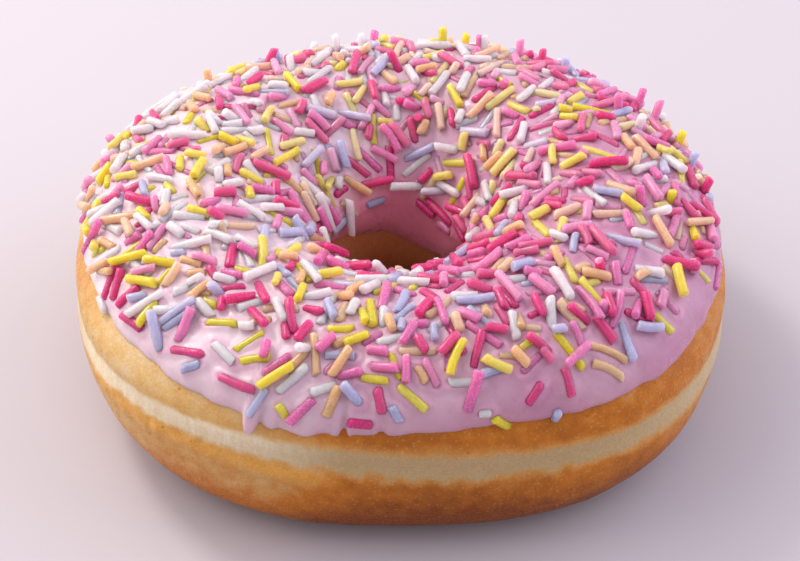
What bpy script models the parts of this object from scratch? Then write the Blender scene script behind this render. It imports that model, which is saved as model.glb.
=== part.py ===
"""Ring doughnut: a fried yeast-dough ring with a flat base, and the coat of icing that covers its top.

Metres, +Z up. The origin is on the ground under the middle of the ring, and -Y is the front.
A point of the ring has an angle round the hole and an angle round the tube of dough: the tube's
angle is 0 at the outer side, 90 degrees at the crest, 180 in the hole and 270 at the base.
"""

import math

import bpy
import numpy as np

MM = 0.001

# Driving dimensions of the dough, in millimetres.
OUTER_RADIUS = 46.0
CREST_RADIUS = 29.0
HOLE_RADIUS = 11.6
CREST_HEIGHT = 28.7
WAIST_HEIGHT = 15.7
BASE_SINK = 0.5  # the tube is cut off this far up, which leaves a flat ring to rest on
GROOVE_DEPTH = 0.45  # of the pale proof line round the waist
GROOVE_HALF_HEIGHT = 2.2

# How square the tube's quarters are: 2 is an ellipse, and more is fuller.
UPPER_SQUARENESS = 1.9
LOWER_SQUARENESS = 2.4
LOWER_SQUARENESS_TO_FRONT = 0.6  # added at the front and taken away at the back
HOLE_SQUARENESS = 3.6
LOWER_BLEND = 0.4  # the quarters' squareness changes over smoothly this far either side of the waist

# Unevenness of a hand-turned ring: (waves per turn, size in mm, angle of a peak in degrees).
OUTER_WAVES = ((2, 1.0, 8), (3, 0.75, -49), (4, 1.25, 53), (5, 0.4, 13))
HOLE_WAVES = ((1, 0.9, -130), (2, 0.55, 71), (3, 0.65, -24))
CREST_WAVES = ((1, 0.95, 49), (2, 0.75, -5))
CREST_RADIUS_WAVES = ((1, 0.9, -133),)
WAIST_WAVES = ((1, 0.9, -109), (2, 0.6, 35), (3, 1.5, -19))

# Driving dimensions of the icing, in millimetres and, for its edges, degrees round the tube.
ICING_GAP = 0.35
ICING_THICKNESS = 1.4
ICING_EDGE_ROUNDING = 0.45  # power of the rise from the edge to the full thickness
OUTER_EDGE_ANGLE = 19.8
OUTER_EDGE_WAVES = ((3, 2.5, 46), (4, 1.7, 18), (6, 1.2, -20), (8, 0.6, 15))
HOLE_EDGE_ANGLE = 183.0
HOLE_EDGE_WAVES = ((1, 7.0, 75), (2, 10.0, 75))

# Facets round the hole and round the tube.
RING_SEGMENTS = 60
DOUGH_SEGMENTS = 30
ICING_SEGMENTS = 36
ICING_GATHERING = 0.4  # share of the icing's facets that gather towards its two edges
SLOPE_STEP = 0.001  # radians either way, for the slopes that give a normal

# Radii of the torus that each ring starts as, before its vertices are moved.
START_RADIUS = 1.0
START_TUBE_RADIUS = 0.5


def waves(turn, terms):
    """Sum of the cosine waves in terms, at the angles turn round the hole."""
    return sum(
        size * np.cos(count * (turn - math.radians(peak))) for count, size, peak in terms
    )


def dough_point(turn, tilt):
    """Point of the dough, in mm, at angle turn round the hole and tilt round the tube.

    Each quarter of the tube is a superellipse about the circle under the crest, at the height of
    the waist. LOWER_BLEND is the sine of the tilt at which the lower squareness holds in full.
    Below the ground the tube is cut flat, and the groove is a bell-shaped dip at the waist.
    """
    outer = OUTER_RADIUS + waves(turn, OUTER_WAVES)
    hole = HOLE_RADIUS + waves(turn, HOLE_WAVES)
    crest = CREST_RADIUS + waves(turn, CREST_RADIUS_WAVES)
    top = CREST_HEIGHT + waves(turn, CREST_WAVES)
    waist = WAIST_HEIGHT + waves(turn, WAIST_WAVES)

    outside = np.cos(tilt) >= 0
    width = np.where(outside, outer - crest, crest - hole)
    height = np.where(np.sin(tilt) >= 0, top - waist, waist + BASE_SINK)
    lower = np.where(
        outside,
        LOWER_SQUARENESS - LOWER_SQUARENESS_TO_FRONT * np.sin(turn),
        HOLE_SQUARENESS,
    )
    below = np.clip(0.5 - 0.5 * np.sin(tilt) / LOWER_BLEND, 0, 1)
    below = below * below * (3 - 2 * below)
    power = UPPER_SQUARENESS + (lower - UPPER_SQUARENESS) * below
    reach = (
        np.abs(np.cos(tilt) / width) ** power + np.abs(np.sin(tilt) / height) ** power
    ) ** (-1 / power)

    rise = reach * np.sin(tilt)
    groove = np.where(outside, GROOVE_DEPTH * np.exp(-((rise / GROOVE_HALF_HEIGHT) ** 2)), 0)
    radius = crest + reach * np.cos(tilt) - groove
    level = np.maximum(waist + rise, 0)
    return np.stack([radius * np.cos(turn), radius * np.sin(turn), level], axis=-1)


def dough_normal(turn, tilt):
    """Unit normal of the dough, from the slopes along its two angles."""
    along_ring = dough_point(turn + SLOPE_STEP, tilt) - dough_point(turn - SLOPE_STEP, tilt)
    along_tube = dough_point(turn, tilt + SLOPE_STEP) - dough_point(turn, tilt - SLOPE_STEP)
    normal = np.cross(along_ring, along_tube)
    return normal / np.linalg.norm(normal, axis=-1, keepdims=True)


def icing_point(turn, loop):
    """Point of the icing, in mm. Its cross-section is a crescent that loop goes round once:
    half a turn over the top from the outer edge to the edge in the hole, and back underneath."""
    outer_edge = OUTER_EDGE_ANGLE + waves(turn, OUTER_EDGE_WAVES)
    hole_edge = HOLE_EDGE_ANGLE + waves(turn, HOLE_EDGE_WAVES)
    even = np.abs(loop) / math.pi
    gathered = (1 - np.cos(loop)) / 2
    share = even + (gathered - even) * ICING_GATHERING
    tilt = np.radians(outer_edge + (hole_edge - outer_edge) * share)
    cover = np.clip(np.sin(loop), 0, 1) ** ICING_EDGE_ROUNDING
    lift = ICING_GAP + ICING_THICKNESS * cover
    return dough_point(turn, tilt) + dough_normal(turn, tilt) * lift[..., None]


def ring_object(name, segments, point_of, material):
    """A primitive torus whose vertices are moved to where point_of puts their two angles."""
    bpy.ops.mesh.primitive_torus_add(
        major_segments=RING_SEGMENTS,
        minor_segments=segments,
        major_radius=START_RADIUS,
        minor_radius=START_TUBE_RADIUS,
    )
    ring = bpy.context.object
    ring.name = name
    ring.data.name = name
    places = np.empty(len(ring.data.vertices) * 3)
    ring.data.vertices.foreach_get("co", places)
    x, y, z = places.reshape(-1, 3).T
    turn = np.arctan2(y, x)
    around_tube = np.arctan2(z, np.hypot(x, y) - START_RADIUS)
    ring.data.vertices.foreach_set("co", (point_of(turn, around_tube) * MM).ravel())
    ring.data.shade_smooth()
    ring.data.materials.append(material)
    return ring


def centre_on_origin(rings):
    """Moves the meshes together so that the middle of their outline is over the origin."""
    corners = np.array([corner for ring in rings for corner in ring.bound_box])
    middle = (corners.min(axis=0) + corners.max(axis=0)) / 2
    for ring in rings:
        places = np.empty(len(ring.data.vertices) * 3)
        ring.data.vertices.foreach_get("co", places)
        centred = places.reshape(-1, 3) - (middle[0], middle[1], 0)
        ring.data.vertices.foreach_set("co", centred.ravel())
        ring.data.update()


def food_material(name, colour, roughness):
    material = bpy.data.materials.new(name)
    material.use_nodes = True
    shader = material.node_tree.nodes["Principled BSDF"]
    shader.inputs["Base Color"].default_value = (*colour, 1.0)
    shader.inputs["Roughness"].default_value = roughness
    shader.inputs["Metallic"].default_value = 0.0
    return material


def build():
    for old in list(bpy.data.objects):
        bpy.data.objects.remove(old)
    crust = food_material("fried_crust", (0.55, 0.25, 0.07), 0.6)
    glaze = food_material("pink_icing", (0.78, 0.48, 0.62), 0.35)
    dough = ring_object("dough_ring", DOUGH_SEGMENTS, dough_point, crust)
    icing = ring_object("icing", ICING_SEGMENTS, icing_point, glaze)
    bpy.context.view_layer.update()
    centre_on_origin([dough, icing])


build()
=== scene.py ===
import itertools
import math

import bpy
import numpy as np
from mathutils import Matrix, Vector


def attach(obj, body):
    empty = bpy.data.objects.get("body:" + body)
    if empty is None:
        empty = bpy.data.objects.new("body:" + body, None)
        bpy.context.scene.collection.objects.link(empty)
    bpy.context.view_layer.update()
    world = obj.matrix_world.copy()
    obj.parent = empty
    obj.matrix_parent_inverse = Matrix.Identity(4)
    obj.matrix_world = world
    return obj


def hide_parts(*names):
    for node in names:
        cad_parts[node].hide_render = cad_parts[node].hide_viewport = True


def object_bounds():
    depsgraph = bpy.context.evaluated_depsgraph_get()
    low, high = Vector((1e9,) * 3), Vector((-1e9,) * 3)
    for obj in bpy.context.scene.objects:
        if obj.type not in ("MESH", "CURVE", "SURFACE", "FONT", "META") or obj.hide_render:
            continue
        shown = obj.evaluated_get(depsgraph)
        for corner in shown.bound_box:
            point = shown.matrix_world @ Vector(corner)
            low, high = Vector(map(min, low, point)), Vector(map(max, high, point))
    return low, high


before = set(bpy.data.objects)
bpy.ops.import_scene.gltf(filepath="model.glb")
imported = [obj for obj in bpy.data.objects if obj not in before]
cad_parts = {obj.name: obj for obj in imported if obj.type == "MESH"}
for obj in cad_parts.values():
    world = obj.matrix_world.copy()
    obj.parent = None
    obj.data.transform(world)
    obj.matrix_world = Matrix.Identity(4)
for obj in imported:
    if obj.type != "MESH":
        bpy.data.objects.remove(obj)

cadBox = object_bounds()
mm = 0.001

# A point of the ring has a turn round the hole and a tilt round the tube of dough, both in radians:
# tilt 0 is the outer side, 90 degrees the crest, 180 the hole's wall and 270 the base. -Y is the front.


def linearColour(hexColour):
    # sRGB hex turned to the linear values that the shaders take
    share = np.array([int(hexColour[i:i + 2], 16) for i in (1, 3, 5)]) / 255
    linear = np.where(share <= 0.04045, share / 12.92, ((share + 0.055) / 1.055) ** 2.4)
    return (*linear.tolist(), 1.0)


def addNode(tree, kind, inputs, **settings):
    # one node: settings are its own, and an input is a value or a link from (node, output)
    node = tree.nodes.new(kind)
    for name, value in settings.items():
        setattr(node, name, value)
    for name, value in inputs.items():
        if isinstance(value, tuple) and isinstance(value[0], bpy.types.Node):
            tree.links.new(value[0].outputs[value[1]], node.inputs[name])
        else:
            node.inputs[name].default_value = value
    return node


def newMaterial(name, readings=(), patterns=()):
    # an empty material, the tree to build in, what it reads of its piece's attributes, and its noise
    # patterns: the size of each in mm, its detail and how many times taller than wide it is
    material = bpy.data.materials.new(name)
    material.use_nodes = True
    tree = material.node_tree
    tree.nodes.clear()
    values = [
        (addNode(tree, "ShaderNodeAttribute", {}, attribute_name=reading), "Fac") for reading in readings]
    for size, detail, height in patterns:
        place = addNode(tree, "ShaderNodeTexCoord", {})
        stretched = addNode(
            tree, "ShaderNodeMapping", {"Vector": (place, "Object"), "Scale": (1.0, 1.0, 1 / height)})
        noise = addNode(
            tree, "ShaderNodeTexNoise",
            {"Vector": (stretched, "Vector"), "Scale": 1 / (size * mm), "Detail": detail})
        values.append((noise, "Fac"))
    return material, tree, values


noiseLow, noiseHigh = 0.3, 0.7  # nearly all the values of a noise pattern lie between these


def unevened(tree, value, pattern, most):
    # a value moved up and down by a pattern, at most this far
    shift = addNode(
        tree, "ShaderNodeMapRange",
        {"Value": pattern, "From Min": noiseLow, "From Max": noiseHigh, "To Min": -most, "To Max": most})
    total = addNode(tree, "ShaderNodeMath", {0: value, 1: (shift, "Result")}, operation="ADD")
    return total, "Value"


def grained(tree, tone, pattern, dark, light):
    # a tone made darker and lighter by a pattern, down and up to these shares of it
    share = addNode(
        tree, "ShaderNodeMapRange",
        {"Value": pattern, "From Min": noiseLow, "From Max": noiseHigh, "To Min": dark, "To Max": light})
    graded = addNode(
        tree, "ShaderNodeMix", {0: 1.0, 6: tone, 7: (share, "Result")},
        data_type="RGBA", blend_type="MULTIPLY")
    return graded, 2


def covered(tree, tone, value, reads, gives, colour, fade="LINEAR"):
    # a tone covered with a colour: a value's range, and how much of the colour there is at its two ends
    share = addNode(
        tree, "ShaderNodeMapRange",
        {"Value": value, "From Min": reads[0], "From Max": reads[1], "To Min": gives[0],
         "To Max": gives[1]},
        interpolation_type=fade)
    layered = addNode(tree, "ShaderNodeMix", {0: (share, "Result"), 6: tone, 7: colour}, data_type="RGBA")
    return layered, 2


def finishMaterial(tree, tone, shine, relief, settings):
    # the surface's tone, shine and fine relief, and the rest of its settings; shine is a pattern, the
    # range of it that is read and the roughness at its two ends, and relief a pattern, strength and mm
    pattern, low, high, first, last = shine
    roughness = addNode(
        tree, "ShaderNodeMapRange",
        {"Value": pattern, "From Min": low, "From Max": high, "To Min": first, "To Max": last})
    pattern, strength, depth = relief
    bump = addNode(
        tree, "ShaderNodeBump", {"Height": pattern, "Strength": strength, "Distance": depth * mm})
    shader = addNode(
        tree, "ShaderNodeBsdfPrincipled",
        {"Base Color": tone, "Roughness": (roughness, "Result"), "Normal": (bump, "Normal"), **settings})
    addNode(tree, "ShaderNodeOutputMaterial", {"Surface": (shader, "BSDF")})


def waves(turn, terms):
    # sum of cosine waves, each (waves per turn, size, degrees of a peak)
    return sum(size * np.cos(count * (turn - math.radians(peak))) for count, size, peak in terms)


# the noise's cubes are turned, so that none of their faces lies level
noiseAxes = np.linalg.qr(np.random.default_rng(7).normal(size=(3, 3)))[0]


def softNoise(points, grain, seed):
    # random values at the corners of cubes of this grain, eased into each other inside every cube; three
    # large primes deal the corners out over a list of values
    place = points @ noiseAxes / grain
    cell = np.floor(place).astype(np.int64)
    part = place - cell
    part = part * part * (3 - 2 * part)
    values = np.random.default_rng(seed).uniform(-1, 1, 4096)
    total = np.zeros(points.shape[:-1])
    for corner in itertools.product((0, 1), repeat=3):
        near = cell + np.array(corner)
        key = (near[..., 0] * 73856093) ^ (near[..., 1] * 19349663) ^ (near[..., 2] * 83492791)
        weight = np.prod(np.where(np.array(corner) == 1, part, 1 - part), axis=-1)
        total += values[key % len(values)] * weight
    return total


def layeredNoise(points, layers, seed):
    # soft noise of several grains, each with its own height, added together
    return sum(height * softNoise(points, grain, seed + k) for k, (grain, height) in enumerate(layers))


def easedStep(low, high, value):
    # 0 below low, 1 above high, and a smooth S between them
    share = np.clip((value - low) / (high - low), 0, 1)
    return share * share * (3 - 2 * share)


def gridNormals(points):
    # unit normals of a grid of points, and the area that each stands for, from the cross product of the
    # slopes along its two ways; the first closes on itself
    alongTurn = (np.roll(points, -1, axis=0) - np.roll(points, 1, axis=0)) / 2
    normal = np.cross(alongTurn, np.gradient(points, axis=1))
    area = np.linalg.norm(normal, axis=-1, keepdims=True)
    return normal / np.maximum(area, 1e-9), area[..., 0]


def gridObject(name, points, material):
    # a mesh from a grid that closes on itself both ways, in mm
    columns, rows = points.shape[:2]
    index = np.arange(columns * rows).reshape(columns, rows)
    right = np.roll(index, -1, axis=0)
    faces = np.stack([index, right, np.roll(right, -1, axis=1), np.roll(index, -1, axis=1)], axis=-1)
    return meshObject(name, points.reshape(-1, 3), faces.reshape(-1, 4), None, material)


def meshObject(name, points, quads, triangles, material):
    # points in mm with quads, and triangles where there are any, all shaded smooth
    mesh = bpy.data.meshes.new(name)
    corners = quads.ravel()
    sides = np.full(len(quads), 4)
    if triangles is not None:
        corners = np.concatenate([corners, triangles.ravel()])
        sides = np.concatenate([sides, np.full(len(triangles), 3)])
    mesh.vertices.add(len(points))
    mesh.vertices.foreach_set("co", (points * mm).astype(np.float32).ravel())
    mesh.loops.add(len(corners))
    mesh.loops.foreach_set("vertex_index", corners.astype(np.int32))
    mesh.polygons.add(len(sides))
    starts = np.concatenate([[0], np.cumsum(sides)[:-1]])
    mesh.polygons.foreach_set("loop_start", starts.astype(np.int32))
    mesh.update(calc_edges=True)
    mesh.validate()
    mesh.shade_smooth()
    mesh.materials.append(material)
    piece = bpy.data.objects.new(name, mesh)
    bpy.context.scene.collection.objects.link(piece)
    return piece


def addAttributes(piece, **readings):
    # one number at each vertex under each name, for the material to read
    for name, values in readings.items():
        attribute = piece.data.attributes.new(name, "FLOAT", "POINT")
        attribute.data.foreach_set("value", values.astype(np.float32).ravel())


# ---- dough: its form in mm, the same as the solid's
dough = {
    "outerRadius": 46.0,
    "crestRadius": 29.0,
    "holeRadius": 11.6,
    "crestHeight": 28.7,
    "waistHeight": 15.7,
    "baseSink": 0.5,
    "grooveDepth": 0.45,
    "grooveHalfHeight": 2.2,
    "upperSquareness": 1.9,
    "lowerSquareness": 2.4,
    "lowerToFront": 0.6,
    "holeSquareness": 3.6,
    "lowerBlend": (0.4, -0.4),  # sines of the tilts between which the squareness changes over
    "outerWaves": ((2, 1.0, 8), (3, 0.75, -49), (4, 1.25, 53), (5, 0.4, 13)),
    "holeWaves": ((1, 0.9, -130), (2, 0.55, 71), (3, 0.65, -24)),
    "crestWaves": ((1, 0.95, 49), (2, 0.75, -5)),
    "crestRadiusWaves": ((1, 0.9, -133),),
    "waistWaves": ((1, 0.9, -109), (2, 0.6, 35), (3, 1.5, -19)),
    "columns": 480,
    "closest": -105,        # degrees of turn where the columns stand closest together
    "closeness": 0.5,       # 0 spaces them evenly
    "rowsInView": 168,      # from under the icing's edge down round the base and up the hole
    "rowsUnderIcing": 24,
    "viewFrom": 42.0,       # degrees of tilt
    "viewTo": -214.0,
    "flatBelow": 1.2,       # mm above the ground; the relief fades out below it
    "lumps": ((15.0, 0.22), (6.0, 0.10), (2.2, 0.035), (0.9, 0.02)),  # grain and height, mm
    "bandTilt": -5.5,       # of the middle of the pale line
    "bandTiltWaves": ((3, 0.6, 30),),
    "bandRaised": (7.4, -93, 20, 74),  # degrees of tilt; middle, inner and outer degrees of turn
    "bandHalfHeight": 1.85,  # mm
    "bandWaves": ((1, 0.35, -72), (3, 0.15, -90), (7, 0.15, 20)),
    "bandBumps": ((1.2, 0, 10, 32), (-0.35, -132, 6, 22)),  # extra half height, and its turns as above
    "blisterTurns": (-128, 20, 32),  # middle, inner and outer degrees, where it is rough under the line
    "blisterBand": (-1.55, 0.6),     # middle and spread, in half heights of the line
    "blisterGrains": ((1.5, 1.0), (0.8, 0.6)),  # mm, and share of the height
    "blisterHeight": 0.45,
    "blisterHollows": 0.3,  # share of that height by which the crust is lower between them
    "browned": 0.48,        # 0 pale, 1 deep brown
    # painted shade: browner towards the front, away from the key light
    "shadedFrontWaves": ((1, 0.27, -85),),
    "paintedLightLeft": (0.37, -131, 12, 36),  # painted light: paler at the left, and its turns as above; this holds above the pale line
    "paintedLightBelow": 0.6,              # share of it below the line
    # painted shade: darker towards the ground
    "paintedShadeAtBase": 0.4,
    "baseFades": (1.0, 13.0),  # mm above the ground
    "holeShadeFrom": (0.1, 0.7),    # minus the cosines of the tilts between which the hole's painted shade comes in
}
outlineMiddle = np.zeros(3)


def tubePoint(turn, tilt):
    # each quarter of the tube is a superellipse about the circle under the crest, at the waist's height;
    # it is cut flat at the ground, and a bell-shaped dip runs round the waist
    outer = dough["outerRadius"] + waves(turn, dough["outerWaves"])
    hole = dough["holeRadius"] + waves(turn, dough["holeWaves"])
    crest = dough["crestRadius"] + waves(turn, dough["crestRadiusWaves"])
    top = dough["crestHeight"] + waves(turn, dough["crestWaves"])
    waist = dough["waistHeight"] + waves(turn, dough["waistWaves"])
    outside = np.cos(tilt) >= 0
    width = np.where(outside, outer - crest, crest - hole)
    height = np.where(np.sin(tilt) >= 0, top - waist, waist + dough["baseSink"])
    front = dough["lowerSquareness"] - dough["lowerToFront"] * np.sin(turn)
    lower = np.where(outside, front, dough["holeSquareness"])
    below = easedStep(*dough["lowerBlend"], np.sin(tilt))
    power = dough["upperSquareness"] + (lower - dough["upperSquareness"]) * below
    reach = np.abs(np.cos(tilt) / width) ** power + np.abs(np.sin(tilt) / height) ** power
    reach = reach ** (-1 / power)
    rise = reach * np.sin(tilt)
    groove = np.where(outside, dough["grooveDepth"] * np.exp(-(rise / dough["grooveHalfHeight"]) ** 2), 0)
    radius = crest + reach * np.cos(tilt) - groove
    level = np.maximum(waist + rise, 0)
    return np.stack([radius * np.cos(turn), radius * np.sin(turn), level], axis=-1) - outlineMiddle


def tubeNormal(turn, tilt):
    # unit normal from the slopes along turn and tilt
    step = 0.001
    alongTurn = tubePoint(turn + step, tilt) - tubePoint(turn - step, tilt)
    alongTube = tubePoint(turn, tilt + step) - tubePoint(turn, tilt - step)
    normal = np.cross(alongTurn, alongTube)
    return normal / np.linalg.norm(normal, axis=-1, keepdims=True)


def closeAtFront(columns):
    # turns once round the ring, closest together at the front, where the relief is finest
    even = np.linspace(0, 2 * np.pi, columns, endpoint=False)
    return even - dough["closeness"] * np.sin(even - math.radians(dough["closest"]))


def signedDegrees(turn):
    # turns as degrees from -180 to 180
    return np.degrees((turn + np.pi) % (2 * np.pi) - np.pi)


def nearTurn(turn, middle, inner, outer):
    # 1 within inner degrees of a middle turn, eased down to 0 at outer degrees from it
    return 1 - easedStep(inner, outer, np.abs(signedDegrees(turn - math.radians(middle))))


# the outline's middle, measured within 60 degrees of the waist, goes to the middle of the CAD box
allTurns, allTilts = np.meshgrid(closeAtFront(900), np.radians(np.arange(-60, 61, 2.0)), indexing="ij")
outline = tubePoint(allTurns, allTilts).reshape(-1, 3)
cadMiddle = (np.array(cadBox[0]) + np.array(cadBox[1])) / 2 / mm
outlineMiddle = (outline.min(axis=0) + outline.max(axis=0)) / 2 - cadMiddle
outlineMiddle[2] = 0


def buildDough(material):
    # the tube's surface, moved along its normals by lumps of several grains and by the blisters
    inView = np.linspace(dough["viewFrom"], dough["viewTo"], dough["rowsInView"], endpoint=False)
    back = np.linspace(dough["viewTo"], dough["viewFrom"] - 360, dough["rowsUnderIcing"], endpoint=False)
    tilts = np.radians(np.concatenate([inView, back]))[::-1]
    turn, tilt = np.meshgrid(closeAtFront(dough["columns"]), tilts, indexing="ij")
    points = tubePoint(turn, tilt)
    normals = tubeNormal(turn, tilt)
    flatBase = easedStep(0.0, dough["flatBelow"], points[..., 2])
    relief = layeredNoise(points, dough["lumps"], 11)

    # distance above the middle of the pale line, as a share of its half height
    raised, *turns = dough["bandRaised"]
    middleTilt = dough["bandTilt"] + waves(turn, dough["bandTiltWaves"]) + raised * nearTurn(turn, *turns)
    middle = tubePoint(turn, np.radians(middleTilt))[..., 2]
    halfHeight = dough["bandHalfHeight"] + waves(turn, dough["bandWaves"])
    halfHeight = halfHeight + sum(extra * nearTurn(turn, *turns) for extra, *turns in dough["bandBumps"])
    bandOffset = (points[..., 2] - middle) / halfHeight
    bandOffset = np.where(np.cos(tilt) > 0, bandOffset, 9.0)  # there is none in the hole

    # crumbly blisters along the lower edge of the pale line at the left of the front
    at, spread = dough["blisterBand"]
    blistered = nearTurn(turn, *dough["blisterTurns"]) * np.exp(-((bandOffset - at) / spread) ** 2)
    grains = enumerate(dough["blisterGrains"])
    lumpy = sum(size * np.abs(softNoise(points, grain, 31 + k)) for k, (grain, size) in grains)
    relief = relief + dough["blisterHeight"] * blistered * (lumpy - dough["blisterHollows"])
    points = points + normals * (relief * flatBase)[..., None]
    points[..., 2] = np.maximum(points[..., 2], 0)

    # how far the crust is browned, with painted shade browner at the front and towards the base and
    # painted light paler at the left; and where the hole is
    # painted light: paler at the left, less so below the pale line
    less, *turns = dough["paintedLightLeft"]
    below = dough["paintedLightBelow"]
    less = less * nearTurn(turn, *turns) * (below + (1 - below) * easedStep(-1, 1, bandOffset))
    # the browning, with painted shade towards the front and painted light at the left
    browned = dough["browned"] + waves(turn, dough["shadedFrontWaves"]) - less
    # painted shade: darker towards the base
    browned = browned + dough["paintedShadeAtBase"] * (1 - easedStep(*dough["baseFades"], points[..., 2]))
    # the hole's wall, where a tan is painted for its shade and the reddish light bounced in it
    inHole = easedStep(*dough["holeShadeFrom"], -np.cos(tilt))

    piece = gridObject("doughCrust", points, material)
    addAttributes(piece, bandOffset=bandOffset, blistered=blistered, browned=browned, inHole=inHole)
    return piece


def crustMaterial():
    # fried yeast dough: a thin dry crust, golden to brown, finely pitted, round a cream line of soft
    # crumb that shines a little where it is moist; painted shade browns its front, base and hole, painted
    # light pales its left, and its light specks are painted glints
    colours = {
        "pale": "#dccbb0",
        "golden": "#d2ab6c",
        "brown": "#c0721c",
        "deepBrown": "#864208",
        "cream": "#f0e4c8",
        "creamShade": "#e0c594",
        "creamBrownedShaded": "#b39666",
        "bandEdge": "#dcaa5c",
        "pit": "#74401a",
        "glintSpeck": "#f6dcae",
        "blister": "#e3a548",
        # painted shade and reddish bounced light of the hole's wall
        "hole": "#c8804e",
    }
    colours = {name: linearColour(colour) for name, colour in colours.items()}
    # blotches 12 mm and 2 mm across, the ragged edges of the pale line, streaks across it 0.8 mm wide
    # and 4 mm tall, and a fine grain of 0.35 mm
    material, tree, values = newMaterial(
        "friedDoughCrust", ("bandOffset", "blistered", "browned", "inHole"),
        ((12, 2.0, 1), (2, 4.0, 1), (2.6, 5.0, 1), (0.8, 2.0, 5), (0.35, 3.0, 1)))
    band, blistered, browned, inHole, blotches, mottle, wobble, streaks, grain = values
    # light specks about 0.6 mm apart, painted glints, and dark pits about 2 mm apart
    place = addNode(tree, "ShaderNodeTexCoord", {})
    glintSpecks, pits = (
        addNode(tree, "ShaderNodeTexVoronoi", {"Vector": (place, "Object"), "Scale": 1 / (apart * mm)})
        for apart in (0.6, 2.1))

    patchy = unevened(tree, unevened(tree, browned, blotches, 0.07), mottle, 0.09)
    crust = addNode(tree, "ShaderNodeValToRGB", {"Fac": patchy})
    ramp = crust.color_ramp
    ramp.elements[0].color = colours["pale"]
    ramp.elements[1].color = colours["deepBrown"]
    for stop, colour in ((0.33, "golden"), (0.66, "brown")):
        ramp.elements.new(stop).color = colours[colour]

    # distance from the middle of the pale line, roughened: more at its lower edge than at its upper
    raggedness = addNode(
        tree, "ShaderNodeMapRange",
        {"Value": band, "From Min": -0.6, "From Max": 0.6, "To Min": 1.5, "To Max": 0.7})
    centred = addNode(tree, "ShaderNodeMath", {0: wobble, 1: -0.5}, operation="ADD")
    wobbled = addNode(
        tree, "ShaderNodeMath", {0: (centred, "Value"), 1: (raggedness, "Result")}, operation="MULTIPLY")
    distance = addNode(tree, "ShaderNodeMath", {0: band}, operation="ABSOLUTE")
    ragged = addNode(
        tree, "ShaderNodeMath", {0: (distance, "Value"), 1: (wobbled, "Value")}, operation="ADD")
    pale = addNode(
        tree, "ShaderNodeMapRange",
        {"Value": (ragged, "Value"), "From Min": 1.1, "From Max": 0.5, "To Min": 0.0, "To Max": 1.0},
        interpolation_type="SMOOTHSTEP")

    cream = covered(
        tree, colours["creamShade"], streaks, (noiseLow, noiseHigh), (0.4, 1.0), colours["cream"])
    # the line darkens with the browning, and with the painted shade at the front
    cream = covered(tree, cream, browned, (0.35, 0.72), (0.0, 0.9), colours["creamBrownedShaded"])
    edged = covered(
        tree, (crust, "Color"), (ragged, "Value"), (1.5, 0.8), (0.0, 0.5), colours["bandEdge"],
        "SMOOTHSTEP")
    banded = addNode(tree, "ShaderNodeMix", {0: (pale, "Result"), 6: edged, 7: cream}, data_type="RGBA")
    pitShare = addNode(
        tree, "ShaderNodeMapRange",
        {"Value": (pale, "Result"), "From Min": 0.0, "From Max": 0.6, "To Min": 0.45, "To Max": 0.0})
    tone = (banded, 2)
    # the blisters, the hole's painted shade, the light specks of painted glints and the dark pits, over
    # the tone
    for value, reads, most, colour in (
            (blistered, (0.1, 1.0), 0.75, "blister"), (inHole, (0.0, 1.0), 0.85, "hole"),
            ((glintSpecks, "Distance"), (0.3, 0.1), 0.14, "glintSpeck"),
            ((pits, "Distance"), (0.11, 0.06), (pitShare, "Result"), "pit")):
        tone = covered(tree, tone, value, reads, (0.0, most), colours[colour])
    tone = grained(tree, tone, grain, 0.92, 1.07)
    finishMaterial(tree, tone, (grain, 0.35, 0.65, 0.62, 0.34), (grain, 0.5, 0.15), {
        "IOR": 1.33,
        "Subsurface Weight": 0.15,
        "Subsurface Radius": (1.2, 0.7, 0.35),
        "Subsurface Scale": 1.0 * mm,
    })
    return material


# ---- icing: its edges are degrees of tilt, the rest is mm
icing = {
    "outerEdge": 19.8,
    "outerEdgeWaves": (
        (3, 2.5, 46), (4, 1.7, 18), (6, 1.2, -20), (8, 0.6, 15), (17, 0.35, 12), (29, 0.3, 50),
        (47, 0.25, 5), (71, 0.2, 3)),
    "holeEdge": 183.0,
    "holeEdgeWaves": ((1, 7.0, 75), (2, 10.0, 75), (9, 0.8, 0)),
    # small runs that dried on the crust, and notches between them: turn, how far down, half width
    "runs": (
        (-114.7, 8.0, 1.15), (-111.8, 2.6, 1.2), (-107.6, 2.0, 3.4), (-101.0, 0.9, 0.7),
        (-99.6, -3.2, 0.6), (-98.7, 0.9, 0.5), (-93.4, -1.8, 0.8)),
    "columns": 480,
    "rows": 194,
    "rowsBeneath": 8,
    "thickness": 1.75,
    "thickenOver": 4.5,
    "edgePower": 0.62,     # less is a blunter edge
    "thinWidth": 4.0,      # how far in from the edge the dough shows through
    "thin": 0.3,
    # painted shade: the thin edge darker towards the front right
    "frontShadeWaves": ((1, 0.3, -60),),
    "pale": 0.44,          # share of the paler pink, painted light, most at the lit left
    "litLeftWaves": ((1, 0.5, 175),),
    "sunk": 0.35,          # how far the coat's underside lies inside the dough
    "lumps": ((12.0, 0.22), (5.0, 0.09), (2.4, 0.03)),  # grain and height
    "lumpsFromEdge": (0.2, 3.0),
    "holeShadeTilts": (148, 176),     # degrees of tilt, where a deeper pink is painted for the shade in the hole
    "lumpyTurns": (-145, 45, 75),  # middle, inner and outer degrees, where the icing set lumpy
    "lumpySize": 0.19,
    "lumpyGrains": ((2.0, 1.0), (1.0, 0.5)),  # mm, and share of that size
    "ribTurns": (-105, 9, 22),  # and where it ran down in ribs
    "ribs": 84,
    "ribHeight": 0.13,
    "ribLength": 4.5,
    "ribWander": (2.4, 4.0),  # radians, and grain
    "collarHeight": 0.3,   # the icing draws up round a strand
    "collarWidth": 0.5,
    "collarReach": 0.45,   # highest that a strand can lie clear of the icing and still have a collar
    "collarFromEdge": (0.3, 1.2),
    "stainWidth": 2.2,     # half thicknesses of the strand that has bled
}


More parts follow.
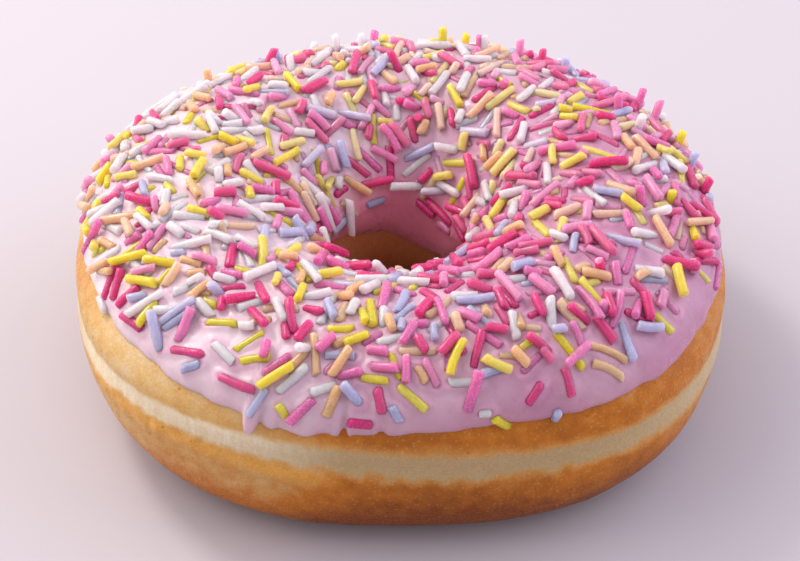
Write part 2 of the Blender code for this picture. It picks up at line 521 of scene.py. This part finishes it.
def shapeIcing():
    # the coat over the dough, which rounds up from both edges to its full thickness, with slow waves,
    # lumps and ribs added along the dough's normal
    share = np.linspace(0, 1, icing["rows"])
    share = share - 0.5 * np.sin(2 * np.pi * share) / (2 * np.pi)  # closer rows at both edges
    turn, share = np.meshgrid(closeAtFront(icing["columns"]), share, indexing="ij")
    degrees = signedDegrees(turn)
    outerEdge = icing["outerEdge"] + waves(turn, icing["outerEdgeWaves"])
    outerEdge = outerEdge - sum(
        drop * np.exp(-((degrees - at) / width) ** 4) for at, drop, width in icing["runs"])
    holeEdge = icing["holeEdge"] + waves(turn, icing["holeEdgeWaves"])
    tilt = np.radians(outerEdge + (holeEdge - outerEdge) * share)
    bare = tubePoint(turn, tilt)
    out = tubeNormal(turn, tilt)

    # distance from each edge along the tube
    lengths = np.linalg.norm(np.diff(bare, axis=1), axis=-1)
    fromOuter = np.concatenate([np.zeros((icing["columns"], 1)), np.cumsum(lengths, axis=1)], axis=1)
    fromHole = fromOuter[:, -1:] - fromOuter
    fromEdge = np.minimum(fromOuter, fromHole)
    rounding = 1 - (1 - np.clip(fromEdge / icing["thickenOver"], 0, 1)) ** 2
    body = icing["thickness"] * rounding ** icing["edgePower"]
    inside = easedStep(*icing["lumpsFromEdge"], fromEdge)
    crinkles = icing["lumpySize"] * nearTurn(turn, *icing["lumpyTurns"])
    crinkles = crinkles * layeredNoise(bare, icing["lumpyGrains"], 57)
    lumps = layeredNoise(bare, icing["lumps"], 51) + crinkles
    ribbed = np.exp(-fromOuter / icing["ribLength"]) * easedStep(0.0, 0.8, fromEdge)
    wander, grain = icing["ribWander"]
    ribs = np.cos(icing["ribs"] * turn + wander * softNoise(bare, grain, 61))
    ribs = icing["ribHeight"] * (nearTurn(turn, *icing["ribTurns"]) * ribbed) * ribs
    lift = body + lumps * inside + ribs
    points = bare + out * lift[..., None]
    normals, areas = gridNormals(points)
    return {
        "turn": turn, "tilt": tilt, "bare": bare, "out": out, "points": points, "normals": normals,
        "areas": areas, "fromOuter": fromOuter, "fromEdge": fromEdge}


def raiseCollars(coat, strands):
    # the icing draws up round each strand that lies in it: a bell-shaped rise with the distance from the
    # strand's side, and a wider stain where its colour has bled
    points = coat["points"].reshape(-1, 3)
    rise = np.zeros(len(points))
    stain = np.zeros(len(points))
    cells = Cells()
    cells.add(points, np.arange(len(points)))
    columns = (strands[key] for key in ("centre", "way", "up", "length", "radius"))
    for centre, way, up, length, radius in zip(*columns):
        near = np.concatenate(cells.near(centre))
        apart = points[near] - centre
        apart = apart - np.clip(apart @ way, -length / 2, length / 2)[:, None] * way
        level = apart @ up
        sideways = np.sqrt(np.maximum((apart ** 2).sum(axis=1) - level ** 2, 0))
        clear = -level - radius + sprinkles["sunk"]
        meets = 1 - easedStep(0.0, icing["collarReach"], np.abs(clear))
        fromSide = (sideways - radius) / icing["collarWidth"]
        bled = sideways / (icing["stainWidth"] * radius)
        rise[near] = np.maximum(rise[near], meets * np.exp(-fromSide ** 2))
        stain[near] = np.maximum(stain[near], meets * np.exp(-bled ** 2))
    shape = coat["turn"].shape
    coat["stain"] = stain.reshape(shape)
    rise = rise.reshape(shape) * easedStep(*icing["collarFromEdge"], coat["fromEdge"])
    coat["points"] = coat["points"] + coat["out"] * (icing["collarHeight"] * rise)[..., None]


def buildIcing(coat, material):
    # the outside closed by an underside that runs back inside the dough
    beneath = np.linspace(icing["rows"] - 1, 0, icing["rowsBeneath"]).round().astype(int)
    under = coat["bare"][:, beneath] - coat["out"][:, beneath] * icing["sunk"]
    piece = gridObject("pinkIcing", np.concatenate([coat["points"], under], axis=1), material)
    hidden = np.zeros(under.shape[:2])
    # where the hole's painted shade comes in
    inHole = easedStep(*icing["holeShadeTilts"], np.degrees(coat["tilt"]))
    # where the dough shows through the thin edge, with painted shade towards the front right
    thin = np.exp(-coat["fromOuter"] / icing["thinWidth"])
    thin = thin * (icing["thin"] + waves(coat["turn"], icing["frontShadeWaves"]))
    # painted light: the paler pink, most at the left
    pale = icing["pale"] + waves(coat["turn"], icing["litLeftWaves"])
    readings = {"thin": thin, "pale": pale, "stain": coat["stain"], "inHole": inHole}
    addAttributes(piece, **{
        name: np.concatenate([values, hidden], axis=1) for name, values in readings.items()})
    return piece


def icingMaterial():
    # set fondant icing: sugar and water with pink colour, poured and dried to a soft satin skin that
    # light sinks into a little; thinner and deeper in colour at its edge, with painted shade there
    # towards the front right, a deeper pink painted for the shade in the hole, and a paler pink of
    # painted light at the left
    colours = {
        "pink": "#bd86a6",
        "paintedLightPink": "#f3e3ea",
        "thinShadedEdge": "#bd7f92",
        "stain": "#dc9abc",
        # painted shade and bounced light in the hole
        "holeShadePink": "#dc7f9c",
    }
    colours = {name: linearColour(colour) for name, colour in colours.items()}
    # clouds of paler pink 9 mm across, and a skin that is uneven over 1.6 mm
    material, tree, (pale, stain, inHole, thin, clouds, skin) = newMaterial(
        "setFondantIcing", ("pale", "stain", "inHole", "thin"), ((9, 3.0, 1), (1.6, 4.0, 1)))
    pale = unevened(tree, pale, clouds, 0.2)
    # the paler pink is painted light, most at the left
    tone = covered(tree, colours["pink"], pale, (0.0, 1.0), (0.0, 1.0), colours["paintedLightPink"])
    for value, most, colour in ((stain, 0.5, "stain"), (inHole, 0.9, "holeShadePink"), (thin, 1.0, "thinShadedEdge")):
        tone = covered(tree, tone, value, (0.0, 1.0), (0.0, most), colours[colour], "SMOOTHSTEP")
    finishMaterial(tree, tone, (skin, noiseLow, noiseHigh, 0.22, 0.44), (skin, 0.45, 0.3), {
        "IOR": 1.46,
        "Subsurface Weight": 0.5,
        "Subsurface Radius": (1.0, 0.6, 0.7),
        "Subsurface Scale": 2.5 * mm,
        "Sheen Weight": 0.15,
        "Sheen Roughness": 0.4,
    })
    return material


# ---- sprinkles: strands of sugar paste, mm and degrees
sprinkles = {
    "seed": 20,
    "count": 1360,
    "thickness": 1.25,
    "thicknessSpread": 0.12,
    "shortest": 1.7,
    "longest": 5.9,
    "lengthPowers": (1.8, 2.0),  # of the beta curve that the lengths follow
    "bentShare": 0.25,
    "bends": (0.14, 0.03),   # most, of the bent ones and of the others, as a share of half the length
    "sunk": 0.5,             # into the icing
    "sunkMore": 0.5,         # at most, towards a turn where they were glazed over
    "sunkPower": 1.6,        # more leaves fewer of them far down
    "sunkTowards": 60,
    "pressed": 0.3,          # into each other
    "tries": 6,
    "steepest": 30.0,        # degrees
    "highest": 1.1,
    "levelness": 0.4,        # how much a slope counts, beside the height at which a strand comes to rest
    "beads": 9,              # places along a strand that are tested
    "ballSpacing": 0.45,     # of the balls that stand for a strand once it lies
    "sides": 8,
    # a worn and a square end: its rim's share of the radius, its rim's width, and how far it is domed
    "ends": ((0.76, 0.26, 0.12), (0.88, 0.13, 0.02)),
    "squareEnds": 0.55,      # share of the strands
    "girthSpread": 0.05,
    "ovalSpread": 0.08,
    "cutSlant": 0.35,        # of the ends, as a slope
    "bareBorder": 2.2,       # along the icing's outer edge
    "borderWaves": ((1, 1.6, -50),),
    "borderFade": 2.0,
    "holeFades": (158, 172),
    "laidTurns": (-85, 41, 51),  # middle, inner and outer degrees where the strands are laid one by one
    "laidTilts": (44, 58),
    "laidBare": 0.85,
    # share more or less of them about a place: share, turn and its spread, tilt and its spread
    "spots": ((-0.65, -18, 28, 70, 32), (0.15, -90, 45, 132, 16)),
    "patches": (0.9, 0.5, 8.0),  # middle and spread of the uneven scatter, and its grain
    "bloomAndGlintColour": "#f4e4e8",
    "glazeColour": "#e8c8da",  # of the icing that has run over some of them
    # share of all, how much more of it there is towards a turn, that turn, most bloom and painted glint,
    # colour
    "colours": {
        "White": (0.2, 0.65, 165, 0.0, "#d6ced4"),
        "Yellow": (0.14, 0.3, 130, 0.1, "#e2c426"),
        "Peach": (0.165, 0.2, 90, 0.2, "#dea272"),
        "Lilac": (0.075, 0.3, -50, 0.12, "#a0a4cc"),
        "Pink": (0.21, 0.1, -60, 0.18, "#d4609a"),
        "Crimson": (0.225, 0.25, -30, 0.05, "#ca286e"),
    },
    # strands laid one by one: colour, turn, tilt, slant (right end up), length, and bend if there is any
    "laid": (
        # along the lower edge of the front
        ("White", -152, 21, -10, 2.6), ("Crimson", -153, 30, -58, 4.8),
        ("Crimson", -142, 25, -3, 4.1), ("Yellow", -140, 31, 88, 3.9, 0.1),
        ("White", -137, 39, 44, 4.8), ("Lilac", -134, 37, 70, 4.3),
        ("Pink", -132, 37, 88, 4.6), ("Crimson", -129, 28, 26, 4.6),
        ("Yellow", -127, 48, 37, 3.9), ("Lilac", -127, 24, 28, 2.6),
        ("Crimson", -118, 27, 0, 5.0, -0.05), ("Yellow", -117, 40, 30, 3.6),
        ("Lilac", -114, 23, 55, 3.9), ("Pink", -113, 42, 75, 4.0),
        ("Yellow", -110, 23, -54, 2.1, 0.1), ("Peach", -110, 47, 57, 3.5),
        ("Pink", -107, 26, 53, 4.3), ("White", -104, 39, 10, 3.3),
        ("Peach", -102, 34, 66, 4.2), ("Lilac", -99, 39, -46, 3.4),
        ("Crimson", -97, 27, -10, 3.0), ("Yellow", -95, 49, 0, 3.3),
        ("Crimson", -94, 39, -77, 3.2), ("Lilac", -91, 34, -60, 2.3),
        ("Yellow", -88, 42, -42, 4.4), ("White", -79, 48, 0, 3.6),
        ("White", -76, 33, 0, 1.3), ("Yellow", -73, 27, -48, 3.0),
        ("Lilac", -73, 50, 13, 4.0, 0.1), ("Crimson", -67, 36, 48, 3.1),
        ("Lilac", -64, 24, 88, 2.2), ("Crimson", -61, 35, -88, 3.5),
        ("Yellow", -58, 47, -70, 5.5), ("Peach", -54, 32, -42, 4.5, 0.13),
        ("Peach", -52, 38, -42, 5.6, 0.13), ("Lilac", -48, 37, 76, 5.1),
        ("Crimson", -43, 40, -56, 4.7), ("Yellow", -40, 33, -76, 3.6),
        ("Pink", -21, 24, 15, 4.6),
        # along the near rim of the hole
        ("Lilac", -121, 132, 0, 4.4), ("Yellow", -122, 122, -8, 4.0),
        ("Pink", -112, 116, 4, 4.2), ("Peach", -103, 129, 0, 4.3),
        ("Yellow", -95, 119, 3, 3.6), ("Lilac", -84, 131, 0, 5.0),
        ("Yellow", -85, 120, 50, 3.0), ("Crimson", -72, 128, -6, 4.2),
        ("White", -69, 118, -42, 3.6),
        # down the far side of the hole
        ("Crimson", 120, 153, -55, 4.8), ("Crimson", 97, 156, 88, 5.0),
        ("Crimson", 110, 164, 0, 4.8), ("White", 86, 166, 0, 4.6),
        ("Peach", 126, 161, -55, 4.6), ("Crimson", 140, 157, 0, 2.6),
        ("Peach", 140, 165, -60, 3.4), ("Lilac", 114, 171, 0, 2.8),
        ("Lilac", 157, 167, 0, 4.0), ("Crimson", 50, 167, -12, 5.6),
        ("Crimson", 16, 171, -15, 3.6), ("Pink", 42, 172, 0, 3.0),
        ("White", 79, 155, 45, 5.0), ("Lilac", 78, 149, 30, 4.6),
        ("Yellow", 143, 141, 55, 4.4), ("Lilac", 132, 144, 80, 4.4),
        ("Lilac", 127, 145, 80, 4.2), ("Peach", 67, 162, 66, 4.2),
        ("Crimson", 72, 158, 60, 2.4), ("Yellow", 40, 156, 92, 4.4),
        ("Yellow", 51, 145, 25, 5.0), ("White", 62, 142, 15, 3.5),
        ("Crimson", 66, 170, -20, 3.4), ("Crimson", 30, 163, 20, 4.0),
    ),
    "stood": 26,             # strands that stand on end among the others
    "stoodFrom": (25.0, 65.0),  # degrees from upright
    "stoodHeights": (2.2, 4.0),
    "stoodDepth": 0.5,
    "stoodBeads": 8,
    "leanBehind": (0.0, 0.5, 0.6),  # added to the icing's normal
    # strands that stand up along the far edge: colour, turn, tilt, length
    "stoodBehind": (
        ("Peach", 137, 58, 3.4), ("Lilac", 120, 60, 2.8), ("White", 108, 62, 3.6),
        ("White", 102, 60, 3.2), ("Yellow", 92, 62, 2.8), ("Yellow", 82, 62, 4.0),
        ("Peach", 77, 60, 3.4), ("Pink", 72, 60, 3.2), ("White", 67, 60, 3.2), ("Pink", 62, 60, 3.6),
        ("Crimson", 55, 58, 3.0), ("Lilac", 47, 56, 2.8), ("Pink", 28, 50, 4.0), ("Pink", 21, 48, 4.2),
        ("Yellow", 14, 44, 3.4), ("Lilac", 7, 42, 3.2), ("Crimson", -2, 36, 3.0)),
}


def sprinkleDensity(coat):
    # full over the crest and into the hole, none on a bare border along the outer edge, fewer where they
    # are laid one by one, more or fewer about two places, and uneven in patches
    turn, tilt = signedDegrees(coat["turn"]), np.degrees(coat["tilt"])
    border = sprinkles["bareBorder"] + waves(coat["turn"], sprinkles["borderWaves"])
    outer = easedStep(0.0, 1.0, (coat["fromOuter"] - border) / sprinkles["borderFade"])
    hole = 1 - easedStep(*sprinkles["holeFades"], tilt)
    laid = 1 - easedStep(*sprinkles["laidTilts"], tilt)
    laid = laid * nearTurn(coat["turn"], *sprinkles["laidTurns"])
    density = outer * (1 - sprinkles["laidBare"] * laid) * hole
    for more, atTurn, turnSpread, atTilt, tiltSpread in sprinkles["spots"]:
        density = density * (
            1 + more * np.exp(-((turn - atTurn) / turnSpread) ** 2 - ((tilt - atTilt) / tiltSpread) ** 2))
    middle, spread, grain = sprinkles["patches"]
    return density * (middle + spread * softNoise(coat["points"], grain, 71))


class Cells:
    # things sorted into cubes, so that those near a place are found quickly
    size = 4.0  # mm

    def __init__(self):
        self.held = {}

    def add(self, places, things):
        # each cube gets a group of the things whose places are in it
        keys = np.floor(places / self.size).astype(int)
        order = np.lexsort(keys.T)
        breaks = np.nonzero(np.any(np.diff(keys[order], axis=0) != 0, axis=1))[0] + 1
        for group in np.split(order, breaks):
            self.held.setdefault(tuple(keys[group[0]]), []).append(things[group])

    def near(self, place):
        # the groups in the cube of a place and in the 26 round it
        home = np.floor(place / self.size).astype(int)
        keys = (tuple(home + step) for step in itertools.product((-1, 0, 1), repeat=3))
        return [things for key in keys for things in self.held.get(key, ())]


def restOn(beads, along, normal, radius, surface, placed):
    # lowers a strand along the normal until it rests at two places, on the icing or on other strands:
    # every bead along its axis has the lift that clears what is under it, and the strand lies on the
    # chord of those lifts that is highest at its middle
    nothing = -9.0  # mm, the lift where nothing is below
    lifts = np.full(len(along), nothing)
    for balls, reach, give in (
            (surface, radius, sprinkles["sunk"]), (placed, 2 * radius, sprinkles["pressed"])):
        if not len(balls):
            continue
        apart = balls[None] - beads[:, None]
        up = apart @ normal
        sideways = (apart ** 2).sum(axis=-1) - up ** 2
        above = up + np.sqrt(np.maximum(reach ** 2 - sideways, 0))
        lift = np.where(sideways < reach ** 2, above, nothing)
        lifts = np.maximum(lifts, lift.max(axis=1) - give)
    half = len(along) // 2
    left, right = along[:half, None], along[None, half + 1:]
    leftLift, rightLift = lifts[:half, None], lifts[None, half + 1:]
    middle = (leftLift * right - rightLift * left) / (right - left)
    best = np.unravel_index(np.argmax(middle), middle.shape)
    if lifts[half] > middle[best]:
        return lifts[half], 0.0
    start, end = best[0], half + 1 + best[1]
    return middle[best], (lifts[end] - lifts[start]) / (along[end] - along[start])


def layDown(seats, angles, length, radius, points, normals, icingCells, strandCells):
    # of a few places and ways to lie, the one where the strand comes to rest lowest and most level
    steepest = math.tan(math.radians(sprinkles["steepest"]))
    along = np.linspace(-0.5, 0.5, sprinkles["beads"]) * (length - radius)
    best = None
    for place, angle in zip(seats, angles):
        seat, normal = points[place], normals[place]
        across = np.cross((0.0, 0.0, 1.0), normal)
        across = across / max(np.linalg.norm(across), 1e-6)
        way = across * math.cos(angle) + np.cross(normal, across) * math.sin(angle)
        surface = points[np.concatenate(icingCells.near(seat))]
        placed = np.concatenate(strandCells.near(seat) or [np.zeros((0, 3))])
        lift, slope = restOn(seat + along[:, None] * way, along, normal, radius, surface, placed)
        if abs(slope) > steepest or lift > sprinkles["highest"]:
            continue
        score = lift + sprinkles["levelness"] * abs(slope)
        if best is None or score < best[0]:
            axis = way + slope * normal
            best = (score, seat + lift * normal, axis / np.linalg.norm(axis), normal)
    return best


def standUp(seats, ways, length, points, normals, strandCells):
    # of a few places, the one with most room round a strand that stands with its foot in the icing
    along = np.linspace(0, length, sprinkles["stoodBeads"])[:, None] - sprinkles["stoodDepth"]
    farAway = np.full((1, 3), 99.0)
    best = None
    for place, way in zip(seats, ways):
        axis = normals[place] + way
        axis = axis / np.linalg.norm(axis)
        placed = np.concatenate(strandCells.near(points[place]) or [farAway])
        beads = points[place] + along * axis
        room = np.linalg.norm(beads[:, None] - placed[None], axis=-1).min()
        if best is None or room > best[0]:
            best = (room, beads.mean(axis=0), axis, np.cross(axis, np.roll(axis, 1)))
    return best


def scatterSprinkles(coat):
    # the laid strands first, then the scattered ones, and last a few that stand on end
    rng = np.random.default_rng(sprinkles["seed"])
    points = coat["points"].reshape(-1, 3)
    normals = coat["normals"].reshape(-1, 3)
    chance = (sprinkleDensity(coat) * coat["areas"]).ravel().clip(0)
    count, tries = sprinkles["count"], sprinkles["tries"]
    seats = rng.choice(len(points), size=(count, tries), p=chance / chance.sum())
    slants = rng.uniform(0, np.pi, size=(count, tries))
    lengths = sprinkles["longest"] - sprinkles["shortest"]
    lengths = sprinkles["shortest"] + lengths * rng.beta(*sprinkles["lengthPowers"], size=count)
    bent = rng.random(count) < sprinkles["bentShare"]
    bends = np.where(bent, *[rng.uniform(-most, most, count) for most in sprinkles["bends"]])
    middling = sprinkles["thickness"] / 2
    radii = middling * (1 + sprinkles["thicknessSpread"] * rng.uniform(-1, 1, size=count))
    sinks = sprinkles["sunkMore"] * rng.uniform(0, 1, size=count) ** sprinkles["sunkPower"]
    names = list(sprinkles["colours"])

    def seatAt(turn, tilt):
        # the grid point nearest to a turn and a tilt in degrees
        column = np.argmin(np.abs(signedDegrees(coat["turn"][:, 0]) - turn))
        row = np.argmin(np.abs(np.degrees(coat["tilt"][column]) - tilt))
        return column * coat["tilt"].shape[1] + row

    icingCells = Cells()
    icingCells.add(points, np.arange(len(points)))
    strandCells = Cells()
    strands = []

    def keep(kind, found, length, radius, bend, sink):
        # sinks a strand by its share on that side of the ring, and keeps it as a row of balls too
        _, centre, axis, up = found
        fromThere = math.atan2(centre[1], centre[0]) - math.radians(sprinkles["sunkTowards"])
        side = 0.5 + 0.5 * math.cos(fromThere)
        centre = centre - up * sink * side
        glazed = sink / sprinkles["sunkMore"] * side
        strands.append((kind, centre, axis, up, length, radius, bend, glazed))
        reach = (length - radius) / 2
        ballCount = max(5, int(length / sprinkles["ballSpacing"]))
        balls = centre + np.linspace(-reach, reach, ballCount)[:, None] * axis
        strandCells.add(balls, balls)

    jobs = [
        (names.index(name), [seatAt(turn, tilt)], [math.radians(slant)], length, middling, sum(bend), 0.0)
        for name, turn, tilt, slant, length, *bend in sprinkles["laid"]]
    jobs.extend(zip(itertools.repeat(-1), seats, slants, lengths, radii, bends, sinks))
    for kind, places, angles, length, radius, bend, sink in jobs:
        found = layDown(places, angles, length, radius, points, normals, icingCells, strandCells)
        if found is not None:
            keep(kind, found, length, radius, bend, sink)

    stood = sprinkles["stood"]
    slopes = np.tan(np.radians(rng.uniform(*sprinkles["stoodFrom"], size=(stood, tries, 1))))
    ways = rng.normal(size=(stood, tries, 3))
    ways = slopes * ways / np.linalg.norm(ways, axis=-1, keepdims=True)
    places = rng.choice(len(points), size=(stood, tries), p=chance / chance.sum())
    heights = rng.uniform(*sprinkles["stoodHeights"], size=stood)
    lean = np.array(sprinkles["leanBehind"])
    jobs = []
    for name, turn, tilt, length in sprinkles["stoodBehind"]:
        seats = [seatAt(turn + nudge, tilt) for nudge in (-2, 0, 2)]
        jobs.append((names.index(name), seats, [lean] * len(seats), length))
    jobs.extend(zip(itertools.repeat(-1), places, ways, heights))
    for kind, seats, ways, length in jobs:
        found = standUp(seats, ways, length, points, normals, strandCells)
        keep(kind, found, length, middling, 0.0, 0.0)

    columns = [np.array(column) for column in zip(*strands)]
    strands = dict(zip(("kind", "centre", "way", "up", "length", "radius", "bend", "glazed"), columns))
    # the colour of a scattered strand, by the shares at its turn
    turn = np.arctan2(strands["centre"][:, 1], strands["centre"][:, 0])
    shares = np.array([
        share * (1 + more * np.cos(turn - math.radians(towards)))
        for share, more, towards, _, _ in sprinkles["colours"].values()])
    limits = np.cumsum(shares / shares.sum(axis=0), axis=0)
    drawn = (rng.random(len(turn)) > limits).sum(axis=0).clip(0, len(names) - 1)
    strands["kind"] = np.where(strands["kind"] < 0, drawn, strands["kind"])
    return strands


def sprinkleMesh(name, strands, rng, material):
    # each strand has eight sides, two worn or cut ends, and a body of three lengths that may bend: its
    # rings are ellipses across its way, moved sideways by a parabola
    total = len(strands["length"])
    sides = sprinkles["sides"]
    half = strands["length"] / 2
    square = rng.random(total) < sprinkles["squareEnds"]
    rimSize, rim, dome = np.array(sprinkles["ends"])[square.astype(int)].T
    along = np.stack([-half, -half + rim, -half / 3, half / 3, half - rim, half], axis=1)
    size = np.stack([rimSize, *np.ones((4, total)), rimSize], axis=1)
    size = size * (1 + sprinkles["girthSpread"] * rng.uniform(-1, 1, size=(total, 6)))
    size = size * strands["radius"][:, None]
    bent = strands["bend"][:, None] * (half[:, None] - along ** 2 / half[:, None])
    cuts = rng.uniform(-sprinkles["cutSlant"], sprinkles["cutSlant"], size=(total, 2, 2))
    oval = 1 + sprinkles["ovalSpread"] * rng.uniform(-1, 1, size=total)
    angle = np.linspace(0, 2 * np.pi, sides, endpoint=False) + rng.uniform(0, 1, size=total)[:, None]
    way, up = strands["way"], strands["up"]
    across = np.cross(up, way)
    across = across / np.linalg.norm(across, axis=1, keepdims=True)
    top = np.cross(way, across)
    ringAcross = size[:, :, None] * np.cos(angle)[:, None, :] * oval[:, None, None]
    ringTop = size[:, :, None] * np.sin(angle)[:, None, :] / oval[:, None, None]
    slant = np.zeros((total, 6, 2))
    slant[:, :2] = cuts[:, :1]
    slant[:, 4:] = cuts[:, 1:]
    lengthwise = along[:, :, None] + slant[..., :1] * ringAcross + slant[..., 1:] * ringTop
    rings = (
        strands["centre"][:, None, None]
        + lengthwise[..., None] * way[:, None, None]
        + (ringAcross + bent[:, :, None])[..., None] * across[:, None, None]
        + ringTop[..., None] * top[:, None, None])
    domed = dome[:, None] * way
    ends = rings[:, (0, 5)].mean(axis=2) + np.stack([-domed, domed], axis=1)
    points = np.concatenate([rings.reshape(total, -1, 3), ends], axis=1)
    stride = points.shape[1]
    ring = np.arange(sides)
    following = (ring + 1) % sides
    band = np.stack([ring, following, following + sides, ring + sides], axis=1)
    quads = np.concatenate([band + k * sides for k in range(5)])
    first = np.stack([following, ring, np.full(sides, 6 * sides)], axis=1)
    last = np.stack([5 * sides + ring, 5 * sides + following, np.full(sides, 6 * sides + 1)], axis=1)
    offsets = np.arange(total)[:, None, None] * stride
    quads = (quads[None] + offsets).reshape(-1, 4)
    triangles = (np.concatenate([first, last])[None] + offsets).reshape(-1, 3)
    piece = meshObject(name, points.reshape(-1, 3), quads, triangles, material)
    flat = np.concatenate([np.zeros(len(quads), bool), np.repeat(square, 2 * sides)])
    attributes = piece.data.attributes
    sharp = attributes.get("sharp_face") or attributes.new("sharp_face", "BOOLEAN", "FACE")
    sharp.data.foreach_set("value", flat)
    tone = rng.uniform(0, 1, total)
    addAttributes(piece, tone=np.repeat(tone, stride), glazed=np.repeat(strands["glazed"], stride))
    return piece


def sprinkleMaterial(name, hexColour, mostBloomAndGlint):
    # sugar strand: pressed sugar paste polished in a drum, milky where sugar has bloomed on it, satin,
    # with the light sinking well in; some strands are paler than others, and pale grains are painted
    # glints
    # mottling 0.7 mm across, and the grain of the sugar, drawn at 0.25 mm so that it shows; its pale
    # grains are painted glints
    material, tree, (paleness, glazed, mottle, grain) = newMaterial(
        "sugarStrand" + name, ("tone", "glazed"), ((0.7, 3.0, 1), (0.25, 2.0, 1)))
    tone = grained(tree, linearColour(hexColour), mottle, 0.9, 1.06)
    bloomsAndGlints = [
        addNode(
            tree, "ShaderNodeMapRange",
            {"Value": value, "From Min": low, "From Max": high, "To Min": 0.0, "To Max": mostBloomAndGlint})
        for value, low, high in ((paleness, 0.35, 1.0), (grain, 0.5, 0.8))]
    # the paler strands' bloom, and painted glints on the grain
    bloomAndGlints = addNode(
        tree, "ShaderNodeMath", {0: (bloomsAndGlints[0], "Result"), 1: (bloomsAndGlints[1], "Result")}, operation="MAXIMUM")
    bloomAndGlint, glaze = linearColour(sprinkles["bloomAndGlintColour"]), linearColour(sprinkles["glazeColour"])
    tone = covered(tree, tone, (bloomAndGlints, "Value"), (0.0, 1.0), (0.0, 1.0), bloomAndGlint)
    tone = covered(tree, tone, glazed, (0.0, 0.8), (0.0, 0.42), glaze)
    finishMaterial(tree, tone, (grain, 0.35, 0.65, 0.14, 0.32), (mottle, 0.35, 0.14), {
        "IOR": 1.45,
        "Subsurface Weight": 0.9,
        "Subsurface Radius": (1.0, 0.85, 0.85),
        "Subsurface Scale": 4.0 * mm,
        "Sheen Weight": 0.1,
        "Sheen Roughness": 0.4,
    })
    return material


def buildSprinkles(strands):
    # one piece for each colour
    rng = np.random.default_rng(sprinkles["seed"] + 1)
    pieces = {}
    for k, (name, (_, _, _, mostBloomAndGlint, hexColour)) in enumerate(sprinkles["colours"].items()):
        own = {key: values[strands["kind"] == k] for key, values in strands.items()}
        material = sprinkleMaterial(name, hexColour, mostBloomAndGlint)
        pieces[name] = sprinkleMesh("sprinkles" + name, own, rng, material)
    return pieces


crust = buildDough(crustMaterial())
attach(crust, "root")
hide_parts("dough_ring")
print("dough done")

coat = shapeIcing()
strands = scatterSprinkles(coat)
print("sprinkles laid:", len(strands["length"]))
raiseCollars(coat, strands)
coatPiece = buildIcing(coat, icingMaterial())
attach(coatPiece, "root")
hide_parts("icing")
print("icing done")

for name, piece in buildSprinkles(strands).items():
    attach(piece, "root")
print("sprinkles done")

# ---- stage: pale floor, a large soft light from behind on the left, and a camera at the front
stage = {
    "floorSize": 3.0,
    "floorColour": "#c6c0c8",
    "lightsAimAt": (0, 0, 0.015),
    "worldColour": "#f0ecf2",
    "worldStrength": 0.76,
    "lightDistance": 0.6,
    # each light: degrees round and up, size, power, colour
    "lights": {
        "key": ((158.0, 38.0), 0.8, 3.45, "#fff6ec"),
        "glint": ((140.0, 52.0), 0.12, 1.2, "#fff6ec"),  # a small one, for the highlights on wet sugar
        "fill": ((12.0, 30.0), 0.7, 2.3, "#eeecff"),
    },
    "cameraHeight": 38.1,       # degrees up
    "cameraDistance": 0.256,
    "cameraTarget": (0.0003, -0.0002, 0.0110),
    "lens": 79.3,
}


def direction(around, up):
    # unit vector towards a place so many degrees round from +X and up
    around, up = math.radians(around), math.radians(up)
    return np.array([math.cos(around) * math.cos(up), math.sin(around) * math.cos(up), math.sin(up)])


def aimed(item, place, target):
    # puts a light or a camera at place, looking at target
    backwards = np.array(place) - np.array(target)
    item.location = place
    item.rotation_euler = (
        math.acos(backwards[2] / np.linalg.norm(backwards)), 0.0,
        math.atan2(backwards[1], backwards[0]) + math.pi / 2)
    bpy.context.scene.collection.objects.link(item)
    return item


def buildStage():
    # the floor, the even light of the room, the lights and the camera
    half = stage["floorSize"] / 2
    floorMesh = bpy.data.meshes.new("floor")
    floorMesh.from_pydata(
        [(-half, -half, 0), (half, -half, 0), (half, half, 0), (-half, half, 0)], [], [(0, 1, 2, 3)])
    material, tree, _ = newMaterial("matteFloor")
    shader = addNode(
        tree, "ShaderNodeBsdfPrincipled",
        {"Base Color": linearColour(stage["floorColour"]), "Roughness": 0.85})
    addNode(tree, "ShaderNodeOutputMaterial", {"Surface": (shader, "BSDF")})
    floorMesh.materials.append(material)
    floor = bpy.data.objects.new("floor", floorMesh)
    bpy.context.scene.collection.objects.link(floor)

    world = bpy.data.worlds.new("studio")
    world.use_nodes = True
    background = world.node_tree.nodes["Background"]
    background.inputs["Color"].default_value = linearColour(stage["worldColour"])
    background.inputs["Strength"].default_value = stage["worldStrength"]
    bpy.context.scene.world = world

    for name, (towards, size, power, colour) in stage["lights"].items():
        light = bpy.data.lights.new(name, "AREA")
        light.size = size
        light.energy = power
        light.color = linearColour(colour)[:3]
        place = direction(*towards) * stage["lightDistance"]
        aimed(bpy.data.objects.new(name, light), place, stage["lightsAimAt"])

    lens = bpy.data.cameras.new("camera")
    lens.lens = stage["lens"]
    lens.sensor_width = 36.0
    lens.clip_start = 0.01
    target = np.array(stage["cameraTarget"])
    place = target + direction(-90.0, stage["cameraHeight"]) * stage["cameraDistance"]
    bpy.context.scene.camera = aimed(bpy.data.objects.new("camera", lens), place, target)
    bpy.context.scene.view_settings.view_transform = "Standard"


buildStage()
print("stage done")

bpy.context.view_layer.update()
